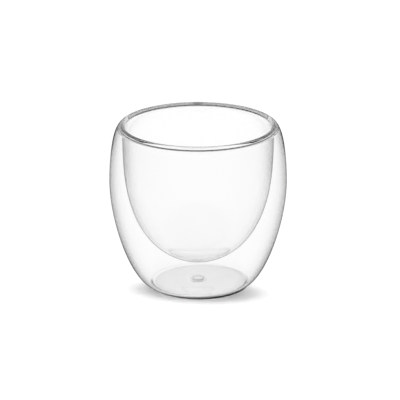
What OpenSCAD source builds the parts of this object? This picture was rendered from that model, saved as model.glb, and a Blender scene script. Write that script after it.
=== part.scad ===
// Double walled glass tumbler. A thin blown bowl hangs by its rolled lip inside a wider blown
// shell, and the air between them keeps the drink hot and the outside cool to the hand.
// Millimetres, +Z up. The origin is the middle of the foot, on the table.

/* [Bowl] */
// Bore of the bowl just below the lip
bore_d = 74; // [68:0.5:80]
// Height of the bowl's floor above the table, on the drink's side
floor_z = 14; // [12:0.5:18]
// Thickness of the bowl's wall
bowl_wall = 1.2; // [1:0.1:1.4]
// Thickness of the glass under the bowl's floor
floor_wall = 1.4; // [1.2:0.1:1.8]
// How full the bowl's outline is, where 2 is an ellipse and more is squarer
bowl_fullness = 3; // [2.6:0.1:3.4]

/* [Shell] */
// Height from the table to the crest of the lip
height = 84.5; // [78:0.5:90]
// Air between the top of the bowl's wall and the shell's wall at the belly
air_gap = 5.3; // [4.5:0.1:8]
// Height of the belly, the widest place of the shell, above the table
belly_z = 54.5; // [50:0.5:58]
// Width of the foot, where the heel starts to leave the table
foot_d = 48; // [42:1:54]
// Thickness of the shell's wall at the belly and above
shell_wall = 1.5; // [1.2:0.1:1.8]
// Thickness of the shell's base
base_wall = 1.3; // [1.1:0.1:1.6]

/* [Base] */
// Width of the flat ring that the cup stands on
ring_w = 2.5; // [1.5:0.5:4]
// How far the middle of the base is pushed up above the table
punt_h = 0.8; // [0.7:0.1:1.2]
// Bore of the vent, which let the hot air out while the lip was fused
vent_d = 6; // [5.2:0.2:6.8]
// Flat glass left all round the plug's flange at the top of the pushed up base
boss_lap = 2.6; // [2:0.2:3.4]

/* [Lip] */
// Radius of the crest that the mouth meets
lip_r = 1.3; // [1.1:0.1:1.4]
// Radius that closes the air gap under the lip
gap_r = 0.5; // [0.3:0.1:0.7]

/* [Plug] */
// How far the plug's flange reaches past the vent, against the underside of the base
flange_lap = 1.4; // [1.2:0.1:1.8]
// Thickness of the flange
flange_h = 0.5; // [0.4:0.1:0.6]
// How far the bead that holds the plug reaches past the vent, inside the air gap
bead_lap = 0.8; // [0.6:0.1:1]
// Height of the bead
bead_h = 0.5; // [0.4:0.1:0.8]

/* [Hidden] */

// Pull of each curve towards its tangent, as a share of the run that it belongs to
heel_share = 0.18;
hip_share = 0.4;
belly_share = 0.15;
shoulder_share = 0.2;
punt_share = 0.5;
// Radius of the plug's edges, as a share of the flange's or the bead's own height
flange_edge_share = 0.35;
bead_edge_share = 0.4;
// Angle round the crest at which the lip flows over into the shoulder
crest_angle = 77;
// How quickly the shell comes to its full thickness from its base to its belly
gathering = 3;
// Steps along each curve
run_steps = 22;
arc_steps = 8;
bowl_steps = 30;
round_steps = 96;

bore_r = bore_d / 2;
hull_r = bore_r + bowl_wall;
belly_r = hull_r + air_gap + shell_wall;
foot_r = foot_d / 2;
ring_r = foot_r - ring_w;
vent_r = vent_d / 2;
flange_r = vent_r + flange_lap;
bead_r = vent_r + bead_lap;
boss_r = flange_r + boss_lap;

// The crest is an arc about this centre, level with the top of the bowl's straight wall
crest_x = bore_r + lip_r;
crest_z = height - lip_r;
crest = [
    for (i = [0:arc_steps]) polar(180 + (crest_angle - 180) * i / arc_steps, lip_r, [crest_x, crest_z])
];
flank = crest[arc_steps];
flank_way = [sin(crest_angle), -cos(crest_angle)];

// The shell's outside in three runs: the pushed up base, the heel up to the belly, the shoulder
punt_way = [(ring_r - boss_r) * punt_share, 0];
punt_run = bezier([boss_r, punt_h], [boss_r, punt_h] + punt_way, [ring_r, 0] - punt_way, [ring_r, 0]);
heel_run = bezier(
    [foot_r, 0], [foot_r + heel_share * belly_z, 0],
    [belly_r, belly_z * (1 - hip_share)], [belly_r, belly_z]);
shoulder_h = flank.y - belly_z;
shoulder_run = bezier(
    [belly_r, belly_z], [belly_r, belly_z + belly_share * shoulder_h],
    flank + shoulder_share * shoulder_h * flank_way, flank);
outside = concat([[vent_r, punt_h]], punt_run, heel_run, [for (i = [1:run_steps]) shoulder_run[i]]);

// The air gap follows the outside at the thickness of the glass, and a small round closes it
gap_side = inset(outside);
gap_crown_r = hull_r + 2 * gap_r;
gap_crown_z = lookup(gap_crown_r, [for (p = gap_side) if (p.y > belly_z) p]);
gap_centre = [hull_r + gap_r, gap_crown_z];

// The shell's edge is fused to the flat under the lip, level with the top of the air gap
seam_z = gap_crown_z + gap_r;
seam_r = lookup(seam_z, [for (p = shoulder_run) [p.y, p.x]]);

// Top of the glass round the vent, where the plug's bead lies
base_top = punt_h + wall_at(punt_h);

// Point at an angle and a distance from a centre
function polar(angle, r, centre) = centre + r * [cos(angle), sin(angle)];

// Points along a cubic curve with two ends and two pulls
function bezier(a, b, c, d) = [
    for (i = [0:run_steps])
        let (t = i / run_steps, s = 1 - t)
        s * s * s * a + 3 * s * s * t * b + 3 * s * t * t * c + t * t * t * d
];

// Thickness of the shell at a height: drawn thin at the base, and full from the belly up
function wall_at(z) = shell_wall + (base_wall - shell_wall) * pow(max(0, 1 - z / belly_z), gathering);

// Unit vector to the left of a path at one of its points
function left_of(path, i) =
    let (step = path[min(i + 1, len(path) - 1)] - path[max(i - 1, 0)])
    [-step.y, step.x] / norm(step);

// The path moved to its left by the shell's thickness
function inset(path) = [for (i = [0:len(path) - 1]) path[i] + wall_at(path[i].y) * left_of(path, i)];

// Points along an arc between two angles about a centre
function edge_arc(from, to, r, centre) = [
    for (i = [0:arc_steps]) polar(from + (to - from) * i / arc_steps, r, centre)
];

function reversed(path) = [for (i = [len(path) - 1:-1:0]) path[i]];

// Half outline of a bowl from the top of its straight wall down to its middle
function bowl_line(r, bottom_z) = [
    for (i = [0:bowl_steps])
        let (t = 90 * i / bowl_steps)
        [r * cos(t), crest_z - (crest_z - bottom_z) * pow(sin(t), 2 / bowl_fullness)]
];

// The bowl that holds the drink, with the rolled lip that the shell is fused to
module inner_bowl() {
    drink_side = reversed(bowl_line(bore_r, floor_z));
    lip_over = [for (p = reversed(shoulder_run)) if (p.y > seam_z) p];
    lip_under = [[seam_r, seam_z], for (i = [0:arc_steps]) polar(90 + 90 * i / arc_steps, gap_r, gap_centre)];
    air_side = [for (p = bowl_line(hull_r, floor_z - floor_wall)) if (p.y < gap_crown_z - gap_r) p];
    color([0.86, 0.92, 0.93, 0.4])
        rotate_extrude($fn = round_steps)
            polygon(concat(
                drink_side,
                [for (i = [1:arc_steps - 1]) crest[i]],
                lip_over, lip_under, air_side));
}

// The outer shell: pushed up base with its vent, rounded heel, belly and shoulder up to the seam
module outer_shell() {
    skin = [for (p = outside) if (p.y < seam_z) p];
    gap_round = [for (i = [0:arc_steps]) polar(90 - 90 * i / arc_steps, gap_r, gap_centre)];
    lining = [for (p = reversed(gap_side)) if (p.y < gap_crown_z - gap_r / arc_steps) p];
    color([0.8, 0.88, 0.9, 0.3])
        rotate_extrude($fn = round_steps)
            polygon(concat(skin, [[seam_r, seam_z]], gap_round, lining));
}

// Clear silicone plug that seals the vent: flange below, stem through the bore, bead above
module vent_plug() {
    flange_edge = flange_edge_share * flange_h;
    bead_edge = bead_edge_share * bead_h;
    flange_z = punt_h - flange_h;
    bead_z = base_top + bead_h;
    color([0.93, 0.93, 0.9, 0.8])
        rotate_extrude($fn = round_steps)
            polygon(concat(
                [[0, flange_z]],
                edge_arc(-90, 0, flange_edge, [flange_r - flange_edge, flange_z + flange_edge]),
                [[flange_r, punt_h], [vent_r, punt_h], [vent_r, base_top], [bead_r, base_top]],
                edge_arc(0, 90, bead_edge, [bead_r - bead_edge, bead_z - bead_edge]),
                [[0, bead_z]]));
}

inner_bowl();
outer_shell();
vent_plug();
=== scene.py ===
"""Double walled glass tumbler on a white sweep: a thin bowl hung by its lip inside a blown shell."""
import math

import bmesh
import bpy
from mathutils import Matrix, Vector


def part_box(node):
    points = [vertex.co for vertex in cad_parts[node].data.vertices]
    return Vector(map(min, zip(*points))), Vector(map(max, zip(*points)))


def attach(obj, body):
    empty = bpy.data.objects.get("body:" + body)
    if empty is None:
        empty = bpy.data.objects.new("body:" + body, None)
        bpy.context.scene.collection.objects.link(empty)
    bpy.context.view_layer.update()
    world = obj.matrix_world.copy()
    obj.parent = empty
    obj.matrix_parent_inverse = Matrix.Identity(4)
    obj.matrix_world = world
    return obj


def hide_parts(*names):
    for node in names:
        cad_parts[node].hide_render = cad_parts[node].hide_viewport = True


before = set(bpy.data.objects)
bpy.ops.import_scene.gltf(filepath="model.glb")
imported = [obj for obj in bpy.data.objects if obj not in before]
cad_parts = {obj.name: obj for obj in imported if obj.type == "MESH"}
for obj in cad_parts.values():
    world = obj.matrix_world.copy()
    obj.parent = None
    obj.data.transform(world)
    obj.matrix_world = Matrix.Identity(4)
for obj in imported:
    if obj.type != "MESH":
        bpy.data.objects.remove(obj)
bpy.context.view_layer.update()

# The bowl that holds the drink. It is blown from a thin tube of borosilicate glass, and its soft
# edge is rolled outwards into a round lip. The shell is fused to the flat on the underside of it.
BORE_RADIUS = 0.037
BOWL_WALL = 0.0012
DRINK_FLOOR = 0.014
FLOOR_WALL = 0.0014
FULLNESS = 3.0
LIP_RADIUS = 0.0013
LIP_ANGLE = math.radians(77)
GAP_RADIUS = 0.0005
BELLY_HEIGHT = 0.0545
BELLY_RISE = 0.15
SHOULDER_FALL = 0.2

shell_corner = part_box("outer_shell")[1]
crest_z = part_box("inner_bowl")[1].z - LIP_RADIUS
seam_z = shell_corner.z
belly_radius = shell_corner.x
hull_radius = BORE_RADIUS + BOWL_WALL
gap_centre = Vector((hull_radius + GAP_RADIUS, seam_z - GAP_RADIUS))

# Steps along each curve, how far the bowl's steps crowd towards its lip, and the least height
# between a step of a curve and the end of the arc or the seam that it runs into
BOWL_STEPS = 110
BOWL_CROWDING = 1.35
LIP_STEPS = 28
SHOULDER_STEPS = 84
GAP_STEPS = 12
SEAM_SPACE = 0.00002
GAP_SPACE = 0.0001


def arc(centre, radius, start, end, steps):
    """Points along an arc, in the plane of radius and height."""
    turns = [start + (end - start) * i / steps for i in range(steps + 1)]
    return [centre + radius * Vector((math.cos(turn), math.sin(turn))) for turn in turns]


def sweep(start, pull, counter, end, steps):
    """Points along a cubic curve with two ends and two pulls."""
    points = []
    for i in range(steps + 1):
        t = i / steps
        s = 1 - t
        points.append(s ** 3 * start + 3 * s * s * t * pull + 3 * s * t * t * counter + t ** 3 * end)
    return points


def bowl_line(radius, bottom):
    """Half outline of a bowl, from the top of its straight wall down to its middle."""
    points = []
    for i in range(BOWL_STEPS + 1):
        turn = math.pi / 2 * (i / BOWL_STEPS) ** BOWL_CROWDING
        drop = (crest_z - bottom) * math.sin(turn) ** (2 / FULLNESS)
        points.append(Vector((radius * math.cos(turn), crest_z - drop)))
    points[-1].x = 0.0
    return points


crest = arc(
    Vector((BORE_RADIUS + LIP_RADIUS, crest_z)), LIP_RADIUS, math.pi, LIP_ANGLE, LIP_STEPS)
flank = crest[-1]
flank_way = Vector((math.sin(LIP_ANGLE), -math.cos(LIP_ANGLE)))
shoulder_height = flank.y - BELLY_HEIGHT
shoulder = sweep(
    Vector((belly_radius, BELLY_HEIGHT)),
    Vector((belly_radius, BELLY_HEIGHT + BELLY_RISE * shoulder_height)),
    flank + SHOULDER_FALL * shoulder_height * flank_way,
    flank, SHOULDER_STEPS)
seam_radius = min(shoulder, key=lambda p: abs(p.y - seam_z)).x
air_side = bowl_line(hull_radius, DRINK_FLOOR - FLOOR_WALL)
bowl_outline = (
    bowl_line(BORE_RADIUS, DRINK_FLOOR)[::-1]
    + crest[1:]
    + [p for p in shoulder[-2::-1] if p.y > seam_z + SEAM_SPACE]
    + [Vector((seam_radius, seam_z))]
    + arc(gap_centre, GAP_RADIUS, math.pi / 2, math.pi, GAP_STEPS)
    + [p for p in air_side if p.y < gap_centre.y - GAP_SPACE])


class Nodes:
    """A tree of nodes: node() adds one, and hands back one of its outputs."""

    def __init__(self, tree):
        self.tree = tree
        tree.nodes.clear()

    def node(self, kind, settings=None, sockets=None, output=0):
        """Add a node, with its settings, and with a value or a link for each socket that is named."""
        node = self.tree.nodes.new(kind)
        for name, value in (settings or {}).items():
            setattr(node, name, value)
        for name, value in (sockets or {}).items():
            if isinstance(value, Amount):
                self.tree.links.new(value.socket, node.inputs[name])
            else:
                node.inputs[name].default_value = value
        return Amount(self, node.outputs[output]) if node.outputs else None


class Amount:
    """A node's output, so that maths on it reads as plain sums."""

    def __init__(self, nodes, socket):
        self.nodes = nodes
        self.socket = socket

    def sum(self, operation, first, second):
        return self.nodes.node("ShaderNodeMath", {"operation": operation}, {0: first, 1: second})

    def __add__(self, other):
        return self.sum("ADD", self, other)

    def __radd__(self, other):
        return self.sum("ADD", other, self)

    def __sub__(self, other):
        return self.sum("SUBTRACT", self, other)

    def __rsub__(self, other):
        return self.sum("SUBTRACT", other, self)

    def __mul__(self, other):
        return self.sum("MULTIPLY", self, other)

    def __rmul__(self, other):
        return self.sum("MULTIPLY", other, self)

    def __pow__(self, other):
        return self.sum("POWER", self, other)

    def at_most(self, limit):
        """This, or the limit where the limit is less."""
        return self.sum("MINIMUM", self, limit)

    def ramp(self, start, end):
        """0 up to the start, 1 from the end on, and smooth between them."""
        return self.nodes.node("ShaderNodeMapRange", {"interpolation_type": "SMOOTHSTEP"}, {
            "Value": self, "From Min": start, "From Max": end})

    def band(self, low, start, end, high):
        """1 from the start to the end, and 0 below the low and above the high."""
        return self.ramp(low, start) * (1 - self.ramp(end, high))


# Every piece is turned: its outline is swept along a small hoop, and moved in by the hoop's radius
HOOP_RADIUS = 0.01
WELD = 0.0000005
JOINT_BLUR = 0.000002
SHARP_ANGLE = math.radians(50)
GLASS_SIDES = 256


def lathe():
    """Nodes that turn a half outline round the upright axis, with its poles and its seam closed."""
    tree = bpy.data.node_groups.new("lathe", "GeometryNodeTree")
    kinds = {"Half Outline": "Geometry", "Hoop Radius": "Float", "Sides": "Int", "Weld": "Float",
             "Joint Height": "Float", "Finish": "Material", "Joint": "Material"}
    for name, kind in kinds.items():
        tree.interface.new_socket(name, in_out="INPUT", socket_type="NodeSocket" + kind)
    tree.interface.new_socket("Piece", in_out="OUTPUT", socket_type="NodeSocketGeometry")
    nodes = Nodes(tree)
    given = {name: nodes.node("NodeGroupInput", output=name) for name in kinds}
    hoop = nodes.node("GeometryNodeCurvePrimitiveCircle", None, {
        "Resolution": given["Sides"], "Radius": given["Hoop Radius"]})
    shift = nodes.node("ShaderNodeCombineXYZ", None, {"X": given["Hoop Radius"] * -1.0})
    outline = nodes.node("GeometryNodeTransform", None, {
        "Geometry": given["Half Outline"], "Translation": shift, "Scale": (1.0, -1.0, 1.0)})
    turned = nodes.node("GeometryNodeCurveToMesh", None, {"Curve": hoop, "Profile Curve": outline})
    welded = nodes.node("GeometryNodeMergeByDistance", None, {
        "Geometry": turned, "Distance": given["Weld"]})
    real = nodes.node("GeometryNodeRealizeInstances", None, {"Geometry": welded})
    finished = nodes.node("GeometryNodeSetMaterial", None, {
        "Geometry": real, "Material": given["Finish"]})
    place = nodes.node("GeometryNodeInputPosition")
    height = nodes.node("ShaderNodeSeparateXYZ", None, {0: place}, "Z")
    level = nodes.node("FunctionNodeCompare", {"data_type": "FLOAT", "operation": "EQUAL"}, {
        "A": height, "B": given["Joint Height"], "Epsilon": JOINT_BLUR})
    joined = nodes.node("GeometryNodeSetMaterial", None, {
        "Geometry": finished, "Selection": level, "Material": given["Joint"]})
    nodes.node("NodeGroupOutput", None, {"Piece": joined})
    return tree


LATHE = lathe()


def turn(name, outline, closed, sides, finish, joint):
    """One piece, turned from a half outline of radius and height."""
    curve = bpy.data.curves.new(name + " outline", "CURVE")
    curve.dimensions = "3D"
    spline = curve.splines.new("POLY")
    spline.points.add(len(outline) - 1)
    for point, place in zip(spline.points, outline):
        point.co = (place.x, place.y, 0.0, 1.0)
    spline.use_cyclic_u = closed
    blank = bpy.data.objects.new(name + " blank", curve)
    bpy.context.collection.objects.link(blank)
    modifier = blank.modifiers.new("lathe", "NODES")
    modifier.node_group = LATHE
    values = {"Hoop Radius": HOOP_RADIUS, "Sides": sides, "Weld": WELD, "Joint Height": seam_z,
              "Finish": finish, "Joint": joint}
    for item in LATHE.interface.items_tree:
        if item.name in values:
            modifier[item.identifier] = values[item.name]
    ready = blank.evaluated_get(bpy.context.evaluated_depsgraph_get())
    mesh = bpy.data.meshes.new_from_object(ready)
    bpy.data.objects.remove(blank)
    shape = bmesh.new()
    shape.from_mesh(mesh)
    bmesh.ops.recalc_face_normals(shape, faces=shape.faces)
    for side in shape.faces:
        side.smooth = True
    shape.to_mesh(mesh)
    shape.free()
    mesh.set_sharp_from_angle(angle=SHARP_ANGLE)
    mesh.name = name
    piece = bpy.data.objects.new(name, mesh)
    bpy.context.collection.objects.link(piece)
    return piece


# The glass of both walls is nearly clear. Its edges are painted a dark grey, a painted shade in
# place of the dark things round a real glass that draw them. Two numbers are the ends of one
# fade, and four are those of a fade in and a fade out. OUT counts from the bowl's outer face, and
# BELOW from the seam.
GLASS_IOR = 1.47
CLEAR = (0.999, 0.999, 0.999, 1.0)
EDGE = (0.03, 0.03, 0.03, 1.0)
WAVE_DETAIL = 1.0
WAVE_ROUGHNESS = 0.4
EDGE_FACING = (0.4, 1.0)
EDGE_LIMIT = 0.68
LIP_HEIGHTS = (0.066, 0.08)
LIP_OUT = (0.0005, 0.0015)
HEEL_HEIGHTS = (0.012, 0.035)
HEEL_SHARE = 0.6
UNDER_LIP_HEIGHTS = (0.051, 0.072)
UNDER_LIP_OUT = (0.0002, 0.0005)
UNDER_LIP_MORE = 0.9
HOLLOW_SHARE = 0.2
HOLLOW_BLUR = 0.004
SEAM_BOUNCES = (1.0, 1.5)
SEAM_FACING = (0.18, 0.28)
SEAM_BELOW = (0.0006, 0.0002)
SEAM_OUT = (-0.0004, -0.0002, 0.0011, 0.0014)
BOWL_OUT = (-0.0001, 0.0002)
MOUTH_HEIGHTS = (0.0829, 0.0831)
MOUTH_SHADE = 0.3
MOUTH_LINE_HEIGHTS = (0.0834, 0.0836)
MOUTH_LINE_SHADE = 0.6
CAUGHT_HEIGHTS = (0.078, 0.079)
CAUGHT_FACING = (0.35, 0.45)
CAUGHT_SHADE = 0.25


def nodes_of(owner):
    """The nodes of a material, of the world's air or of a lamp, emptied."""
    owner.use_nodes = True
    return Nodes(owner.node_tree)


def place_on_cup(nodes):
    """Where a point is: its place, the part of it across the cup's axis, its radius and height."""
    place = nodes.node("ShaderNodeTexCoord", output="Object")
    across = nodes.node("ShaderNodeVectorMath", {"operation": "MULTIPLY"}, {
        0: place, 1: (1.0, 1.0, 0.0)})
    radius = nodes.node("ShaderNodeVectorMath", {"operation": "LENGTH"}, {0: across}, "Value")
    height = nodes.node("ShaderNodeSeparateXYZ", None, {0: place}, "Z")
    return place, across, radius, height


def blown_glass(name, wave_scale, wave_depth, soft_radii, broad_edge_shade, soft_edge, fine_radii, fine_edge,
                sharpness, seam_shade):
    """Clear glass with the slow waves of blowing, painted darker where a wall is seen edge on."""
    material = bpy.data.materials.new(name)
    nodes = nodes_of(material)
    place, across, radius, height = place_on_cup(nodes)
    out = radius - hull_radius
    waves = nodes.node("ShaderNodeTexNoise", None, {
        "Vector": place, "Scale": wave_scale, "Detail": WAVE_DETAIL, "Roughness": WAVE_ROUGHNESS})
    normal = nodes.node("ShaderNodeBump", None, {
        "Strength": 1.0, "Distance": wave_depth, "Height": waves})
    facing = nodes.node("ShaderNodeLayerWeight", None, {"Blend": 0.5}, "Facing")
    turned = nodes.node("ShaderNodeMapRange", None, {
        "Value": facing, "From Min": EDGE_FACING[0], "From Max": EDGE_FACING[1]})
    leaving = nodes.node("ShaderNodeNewGeometry", output="Backfacing")
    bounces = nodes.node("ShaderNodeLightPath", output="Ray Depth")

    # Painted shade: a soft grey where a wall turns away, stronger on the bowl under its lip, and a
    # fine line at its very edge, which is darkest outside on the lip and at the heel
    ends = (height.ramp(*LIP_HEIGHTS) * out.ramp(*LIP_OUT)
            + (1 - height.ramp(*HEEL_HEIGHTS)) * HEEL_SHARE)
    under_lip = height.ramp(*UNDER_LIP_HEIGHTS) * (1 - out.ramp(*UNDER_LIP_OUT))
    soft = (facing * broad_edge_shade + turned ** 2 * soft_edge) * radius.ramp(*soft_radii)
    fine = turned ** sharpness * (fine_edge + ends) * radius.ramp(*fine_radii)
    edge_on = (soft * (1 + under_lip * UNDER_LIP_MORE) + fine).at_most(
        EDGE_LIMIT + (1 - EDGE_LIMIT) * ends)

    # The hollow side of a wall has a small share of it, or each edge would be drawn twice
    outwards = nodes.node("ShaderNodeVectorMath", {"operation": "DOT_PRODUCT"}, {
        0: nodes.node("ShaderNodeNewGeometry", output="Normal"), 1: across}, "Value")
    side_share = HOLLOW_SHARE + (1 - HOLLOW_SHARE) * outwards.ramp(-HOLLOW_BLUR, HOLLOW_BLUR)

    # A dark line of painted shade lies on the melted seam at the top of the air gap; it is seen
    # through one face of glass at most
    seam = ((1 - bounces.ramp(*SEAM_BOUNCES))
            * (1 - facing.ramp(*SEAM_FACING))
            * height.ramp(seam_z - SEAM_BELOW[0], seam_z - SEAM_BELOW[1])
            * out.band(*SEAM_OUT))

    # The mouth's side of the lip is painted grey, with a darker painted line where its curve begins;
    # both are painted shade. Light that was caught inside the bowl's wall is painted dimmer where it
    # leaves it near the lip.
    of_bowl = 1 - out.ramp(*BOWL_OUT)
    mouth = height.ramp(*MOUTH_HEIGHTS) * of_bowl * (1 - turned)
    mouth_line = mouth * (1 - height.ramp(*MOUTH_LINE_HEIGHTS))
    caught = leaving * height.ramp(*CAUGHT_HEIGHTS) * of_bowl * facing.ramp(*CAUGHT_FACING)

    entering = edge_on * side_share + mouth * MOUTH_SHADE + mouth_line * MOUTH_LINE_SHADE
    shade = (entering * (1 - leaving) + caught * CAUGHT_SHADE + seam * seam_shade).at_most(1.0)
    clear, edge = [nodes.node("ShaderNodeBsdfGlass", None, {
        "Color": colour, "Roughness": 0.0, "IOR": GLASS_IOR, "Normal": normal})
        for colour in (CLEAR, EDGE)]
    glass = nodes.node("ShaderNodeMixShader", None, {0: shade, 1: clear, 2: edge})
    nodes.node("ShaderNodeOutputMaterial", None, {"Surface": glass})
    return material


def melted_joint():
    """Nothing shows where two pieces of glass have run together."""
    material = bpy.data.materials.new("melted joint")
    nodes = nodes_of(material)
    through = nodes.node("ShaderNodeBsdfTransparent", None, {"Color": (1.0, 1.0, 1.0, 1.0)})
    nodes.node("ShaderNodeOutputMaterial", None, {"Surface": through})
    return material


joint = melted_joint()
bowl_glass = blown_glass(
    "bowl glass", wave_scale=55.0, wave_depth=0.00002, soft_radii=(0.016, 0.036), broad_edge_shade=0.05,
    soft_edge=0.5, fine_radii=(0.004, 0.016), fine_edge=1.6, sharpness=8, seam_shade=0.35)
bowl = turn("blown_bowl", bowl_outline, False, GLASS_SIDES, bowl_glass, joint)
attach(bowl, "root")
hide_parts("inner_bowl")

# The outer shell. It is blown into a mould and pushed up in the middle of its base, so that it
# stands on a narrow ring. A vent in the base lets the hot air out while the lip is melted on.
FOOT_RADIUS = 0.024
RING_WIDTH = 0.0025
PUNT_HEIGHT = 0.0008
VENT_RADIUS = 0.003
BOSS_RADIUS = 0.007
SHELL_WALL = 0.0015
BASE_WALL = 0.0013
GATHERING = 3
HEEL_PULL = 0.18
HIP_PULL = 0.4
PUNT_PULL = 0.5
PUNT_STEPS = 28
HEEL_STEPS = 76
LINING_SPACE = 0.00004


def shell_wall(height):
    """The glass is drawn thin at the base, and has its full thickness from the belly up."""
    below = max(0.0, 1 - height / BELLY_HEIGHT)
    return SHELL_WALL + (BASE_WALL - SHELL_WALL) * below ** GATHERING


def inside(path):
    """The path moved inwards by the thickness of the shell."""
    moved = []
    for i, point in enumerate(path):
        step = path[min(i + 1, len(path) - 1)] - path[max(i - 1, 0)]
        moved.append(point + shell_wall(point.y) * Vector((-step.y, step.x)).normalized())
    return moved


ring_radius = FOOT_RADIUS - RING_WIDTH
punt_pull = Vector(((ring_radius - BOSS_RADIUS) * PUNT_PULL, 0.0))
boss = Vector((BOSS_RADIUS, PUNT_HEIGHT))
ring = Vector((ring_radius, 0.0))
punt = sweep(boss, boss + punt_pull, ring - punt_pull, ring, PUNT_STEPS)
heel = sweep(
    Vector((FOOT_RADIUS, 0.0)),
    Vector((FOOT_RADIUS + HEEL_PULL * BELLY_HEIGHT, 0.0)),
    Vector((belly_radius, BELLY_HEIGHT * (1 - HIP_PULL))),
    Vector((belly_radius, BELLY_HEIGHT)), HEEL_STEPS)
skin = [Vector((VENT_RADIUS, PUNT_HEIGHT))] + punt + heel + shoulder[1:]
lining = inside(skin)[::-1]
shell_outline = (
    [p for p in skin if p.y < seam_z - SEAM_SPACE]
    + [Vector((seam_radius, seam_z))]
    + arc(gap_centre, GAP_RADIUS, math.pi / 2, 0.0, GAP_STEPS)
    + [p for p in lining if p.y < gap_centre.y - LINING_SPACE])
shell_glass = blown_glass(
    "shell glass", wave_scale=45.0, wave_depth=0.00003, soft_radii=(0.02, 0.024), broad_edge_shade=0.02,
    soft_edge=0.45, fine_radii=(0.02, 0.024), fine_edge=0.9, sharpness=4, seam_shade=0.95)
shell = turn("blown_shell", shell_outline, True, GLASS_SIDES, shell_glass, joint)
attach(shell, "root")
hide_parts("outer_shell")

# The plug that seals the vent. It is moulded in clear silicone, and pressed in from below until
# its bead snaps out above the base, with the flange left flat against the underside.
SEAT = 0.00003
PLUG_FLANGE = 0.0044
PLUG_BEAD = 0.0038
FLANGE_EDGE = 0.000175
BEAD_EDGE = 0.0002
EDGE_STEPS = 10
PLUG_SIDES = 96
plug_low, plug_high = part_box("vent_plug")
base_top = PUNT_HEIGHT + shell_wall(PUNT_HEIGHT)
stem_radius = VENT_RADIUS - SEAT
flange_centre = Vector((PLUG_FLANGE - FLANGE_EDGE, plug_low.z + FLANGE_EDGE))
bead_centre = Vector((PLUG_BEAD - BEAD_EDGE, plug_high.z - BEAD_EDGE))
plug_outline = (
    [Vector((0.0, plug_low.z))]
    + arc(flange_centre, FLANGE_EDGE, -math.pi / 2, 0.0, EDGE_STEPS)
    + [Vector((PLUG_FLANGE, PUNT_HEIGHT - SEAT)), Vector((stem_radius, PUNT_HEIGHT - SEAT)),
       Vector((stem_radius, base_top + SEAT)), Vector((PLUG_BEAD, base_top + SEAT))]
    + arc(bead_centre, BEAD_EDGE, 0.0, math.pi / 2, EDGE_STEPS)
    + [Vector((0.0, plug_high.z))])

# Its stem shows a painted grey ring of shade, where the silicone meets the wall of the vent
SILICONE = (0.97, 0.97, 0.97, 1.0)
SILICONE_IOR = 1.41
SILICONE_ROUGHNESS = 0.03
STEM_RING_SHADE = (0.2, 0.2, 0.2, 1.0)
STEM_RING_RADII = (0.0026, 0.0028, 0.0031, 0.0033)
STEM_RING_TOP = (0.0016, 0.0018)
GRAIN_SCALE = 900.0
GRAIN_DETAIL = 3.0
GRAIN_DEPTH = 0.00002
GRAIN_STRENGTH = 0.4
GRAIN_ROUGHNESS = 0.06


def clear_silicone():
    """Soft clear silicone, faintly milky, with the fine matt surface of its mould."""
    material = bpy.data.materials.new("clear silicone")
    nodes = nodes_of(material)
    place, _, radius, height = place_on_cup(nodes)
    grain = nodes.node("ShaderNodeTexNoise", None, {
        "Vector": place, "Scale": GRAIN_SCALE, "Detail": GRAIN_DETAIL})
    normal = nodes.node("ShaderNodeBump", None, {
        "Strength": GRAIN_STRENGTH, "Distance": GRAIN_DEPTH, "Height": grain})
    # A painted ring of shade on the stem, low in the vent
    ringed = radius.band(*STEM_RING_RADII) * (1 - height.ramp(*STEM_RING_TOP))
    colour = nodes.node("ShaderNodeMix", {"data_type": "RGBA"}, {
        "Factor": ringed, "A": SILICONE, "B": STEM_RING_SHADE}, 2)
    rubber = nodes.node("ShaderNodeBsdfPrincipled", None, {
        "Base Color": colour, "Roughness": SILICONE_ROUGHNESS + grain * GRAIN_ROUGHNESS,
        "IOR": SILICONE_IOR, "Transmission Weight": 1.0, "Normal": normal})
    nodes.node("ShaderNodeOutputMaterial", None, {"Surface": rubber})
    return material


silicone = clear_silicone()
plug = turn("silicone_vent_plug", plug_outline, False, PLUG_SIDES, silicone, silicone)
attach(plug, "root")
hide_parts("vent_plug")

# The white sweep that the cup stands on. It glows as paper does under a bright studio light, and
# has painted shade: the soft shadow beside the cup, the shade under the foot and the dark line
# round the ring.
SHEET_SIZE = 6.0
SHEET_DROP = 0.00005
SHEET_WHITE = 0.9
SHEET_GLOW = 1.06
SHADOW_CENTRE = (0.0, -0.0145, 0.0)
SHADOW_TURN = math.radians(8)
SHADOW_SPREAD = (1 / 0.039, 1 / 0.020, 1.0)
SHADOW_EDGE = (0.45, 1.05)
REST_CENTRE = (0.0024, -0.0022, 0.0)
REST_EDGE = (0.0243, 0.0249)
REST_SHADE = 0.65
REST_RIM = 0.0008
REST_RIM_SHADE = 0.12
LINE_CENTRE = (0.0006, -0.0004, 0.0)
LINE_RADII = (0.0237, 0.0242, 0.0253, 0.0258)
LINE_BACK = (-0.005, 0.003)

# The paper and the air are a little darker through the glass, and darker still mirrored in it
THROUGH = 0.95
MIRRORED = 0.7

half = SHEET_SIZE / 2
square = ((-half, -half), (half, -half), (half, half), (-half, half))
sheet_mesh = bpy.data.meshes.new("white_sheet")
sheet_mesh.from_pydata([(x, y, -SHEET_DROP) for x, y in square], [], [(0, 1, 2, 3)])
sheet = bpy.data.objects.new("white_sheet", sheet_mesh)
bpy.context.collection.objects.link(sheet)


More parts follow.
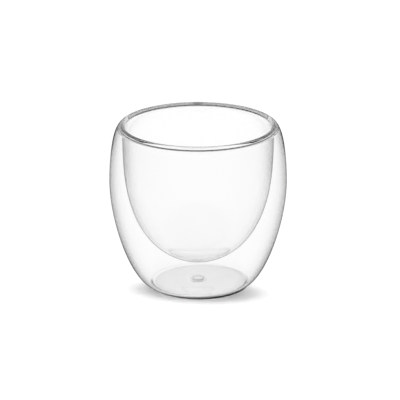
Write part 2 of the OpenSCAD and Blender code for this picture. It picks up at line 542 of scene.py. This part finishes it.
def white_paper():
    """Glowing paper, with the cup's shadow, the shade under the foot and a dark line painted on."""
    material = bpy.data.materials.new("white paper")
    nodes = nodes_of(material)
    diffuse_ray = nodes.node("ShaderNodeLightPath", output="Is Diffuse Ray")
    mirror_ray = nodes.node("ShaderNodeLightPath", output="Is Reflection Ray")
    camera_ray = nodes.node("ShaderNodeLightPath", output="Is Camera Ray")
    place = nodes.node("ShaderNodeTexCoord", output="Object")

    # The camera sees the paper's own shading only inside a painted oval shadow, and the glass shows
    # a painted round shade under the foot, with a darker painted rim
    offset = nodes.node("ShaderNodeVectorMath", {"operation": "SUBTRACT"}, {
        0: place, 1: SHADOW_CENTRE})
    slanted = nodes.node("ShaderNodeVectorRotate", {"rotation_type": "Z_AXIS"}, {
        "Vector": offset, "Angle": SHADOW_TURN})
    oval = nodes.node("ShaderNodeVectorMath", {"operation": "MULTIPLY"}, {
        0: slanted, 1: SHADOW_SPREAD})
    from_shadow = nodes.node("ShaderNodeVectorMath", {"operation": "LENGTH"}, {0: oval}, "Value")
    beside = from_shadow.ramp(*SHADOW_EDGE)
    from_rest = nodes.node("ShaderNodeVectorMath", {"operation": "DISTANCE"}, {
        0: place, 1: REST_CENTRE}, "Value")
    rest_rim = from_rest.band(REST_EDGE[0] - REST_RIM, REST_EDGE[0], *REST_EDGE)
    under = REST_SHADE + (1 - REST_SHADE) * from_rest.ramp(*REST_EDGE) - REST_RIM_SHADE * rest_rim
    unshaded = under + (beside - under) * camera_ray

    # A painted dark line of contact shadow, where the ring touches the paper, shows at the front
    # and fades towards the back
    from_line = nodes.node("ShaderNodeVectorMath", {"operation": "DISTANCE"}, {
        0: place, 1: LINE_CENTRE}, "Value")
    depth = nodes.node("ShaderNodeSeparateXYZ", None, {0: place}, "Y")
    line = from_line.band(*LINE_RADII) * (1 - depth.ramp(*LINE_BACK))
    colour = nodes.node("ShaderNodeMix", {"data_type": "RGBA"}, {
        "Factor": 1 - line, "A": (0.0, 0.0, 0.0, 1.0), "B": (SHEET_WHITE,) * 3 + (1.0,)}, 2)

    face = nodes.node("ShaderNodeBsdfDiffuse", None, {"Color": colour})
    seen = (THROUGH + (1 - THROUGH) * camera_ray) * (1 - mirror_ray * (1 - MIRRORED))
    glow = nodes.node("ShaderNodeEmission", None, {
        "Color": colour, "Strength": seen * (SHEET_GLOW / SHEET_WHITE)})
    paper = nodes.node("ShaderNodeMixShader", None, {
        0: (1 - diffuse_ray) * unshaded, 1: face, 2: glow})
    nodes.node("ShaderNodeOutputMaterial", None, {"Surface": paper})
    return material


sheet_mesh.materials.append(white_paper())

# The air of the studio. It is white all round, as far as the camera and the glass see it, up to a
# darker ceiling that draws the rims, and it lights the paper only softly.
CEILING_EDGE = (0.45, 0.75)
CEILING = 0.6
AMBIENT = 0.5
world = bpy.data.worlds.new("studio")
air = nodes_of(world)
look = air.node("ShaderNodeTexCoord", output="Generated")
up = air.node("ShaderNodeSeparateXYZ", None, {0: look}, "Z")
diffuse_ray = air.node("ShaderNodeLightPath", output="Is Diffuse Ray")
camera_ray = air.node("ShaderNodeLightPath", output="Is Camera Ray")
mirror_ray = air.node("ShaderNodeLightPath", output="Is Reflection Ray")
around = (1 - (1 - CEILING) * up.ramp(*CEILING_EDGE)) * THROUGH
seen = (around + (1 - around) * camera_ray) * (1 - mirror_ray * (1 - MIRRORED))
light = air.node("ShaderNodeBackground", None, {
    "Color": (1.0, 1.0, 1.0, 1.0), "Strength": seen + (AMBIENT - seen) * diffuse_ray})
air.node("ShaderNodeOutputWorld", None, {"Surface": light})
scene = bpy.context.scene
scene.world = world

# The softbox over the cup. It lights the paper alone, where that is in shadow, and is dark to the
# glass, so that no round spot shows on the walls.
LAMP_SIZE = 0.5
LAMP_PLACE = Vector((0.0, 0.25, 0.9))
LAMP_POWER = 5.5
lamp_data = bpy.data.lights.new("overhead softbox", "AREA")
lamp_data.shape = "DISK"
lamp_data.size = LAMP_SIZE
lamp_data.energy = LAMP_POWER
softbox = nodes_of(lamp_data)
on_paper = softbox.node("ShaderNodeLightPath", output="Diffuse Depth").at_most(1.0)
box_light = softbox.node("ShaderNodeEmission", None, {"Strength": on_paper})
softbox.node("ShaderNodeOutputLight", None, {"Surface": box_light})
lamp = bpy.data.objects.new("overhead_softbox", lamp_data)
bpy.context.collection.objects.link(lamp)
lamp.location = LAMP_PLACE
lamp.rotation_euler = LAMP_PLACE.to_track_quat("Z", "Y").to_euler()

# The camera, low in front of the cup with a long lens, as the photograph was taken. Light may
# cross as many walls of glass as it meets.
AIM = Vector((0.0, 0.0, 0.045))
DISTANCE = 1.2
RISE = math.radians(18.89)
LENS_LENGTH = 212.4
SENSOR_WIDTH = 36.0
LENS_SHIFT = 0.0048
BOUNCES = 128
back = Vector((0.0, -math.cos(RISE), math.sin(RISE)))
lens = bpy.data.cameras.new("camera")
lens.lens = LENS_LENGTH
lens.sensor_width = SENSOR_WIDTH
lens.shift_x = LENS_SHIFT
lens.shift_y = -LENS_SHIFT
camera = bpy.data.objects.new("camera", lens)
bpy.context.collection.objects.link(camera)
camera.matrix_world = (
    Matrix.Translation(AIM + DISTANCE * back)
    @ back.to_track_quat("Z", "Y").to_matrix().to_4x4())
scene.camera = camera
scene.cycles.max_bounces = BOUNCES
scene.cycles.transmission_bounces = BOUNCES
scene.cycles.glossy_bounces = BOUNCES
scene.cycles.transparent_max_bounces = BOUNCES
scene.view_settings.view_transform = "Standard"
